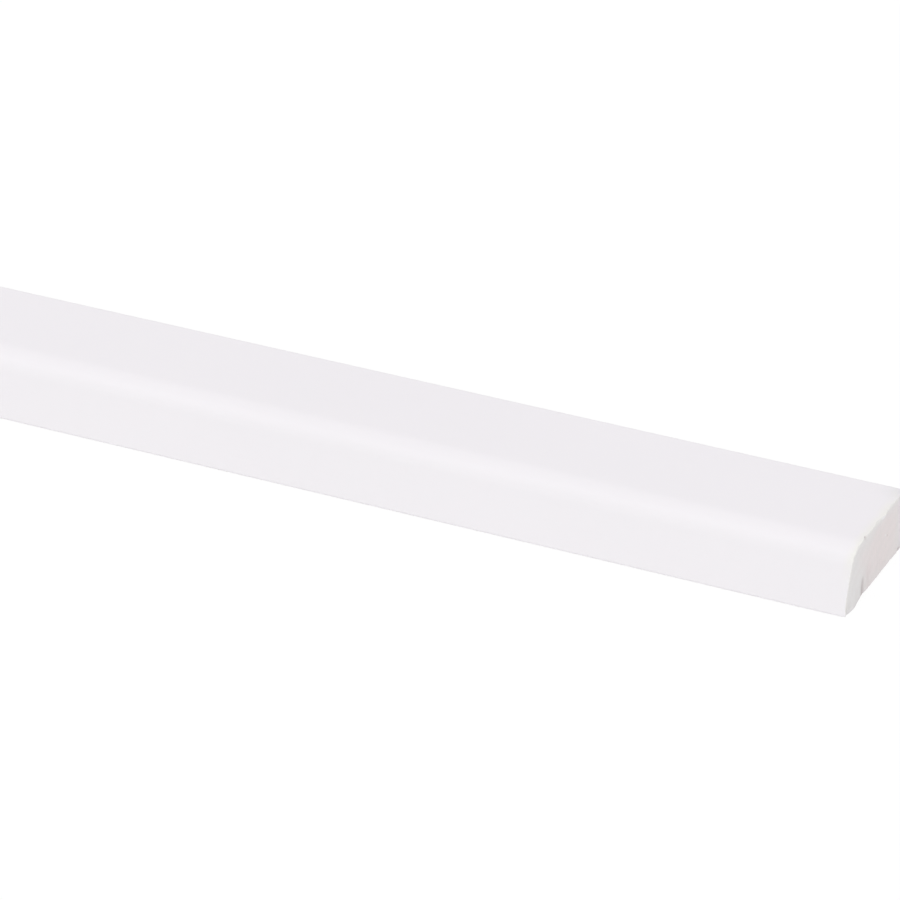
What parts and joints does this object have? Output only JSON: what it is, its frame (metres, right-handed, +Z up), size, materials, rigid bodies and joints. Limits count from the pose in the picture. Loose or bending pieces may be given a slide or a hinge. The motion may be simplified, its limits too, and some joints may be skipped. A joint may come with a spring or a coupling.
{
  "type": "bevelled timber trim strip",
  "caption": "Straight white-painted timber trim strip with a bevelled front edge rounded softly into a flat face, a flat back, a square rear edge and square-sawn ends.",
  "frame": {"origin": "middle of the flat back face, which lies on the floor", "axes": "+X along the strip, +Z up out of the face, -Y towards the bevelled front edge, +Y towards the square edge"},
  "size_m": [1, 0.03, 0.012],
  "materials": {
    "white_paint": "planed pale timber with a smooth satin white paint on its long faces; the sawn ends are bare"
  },
  "bodies": {
    "root": {"trim_strip": "white_paint"}
  },
  "joints": []
}
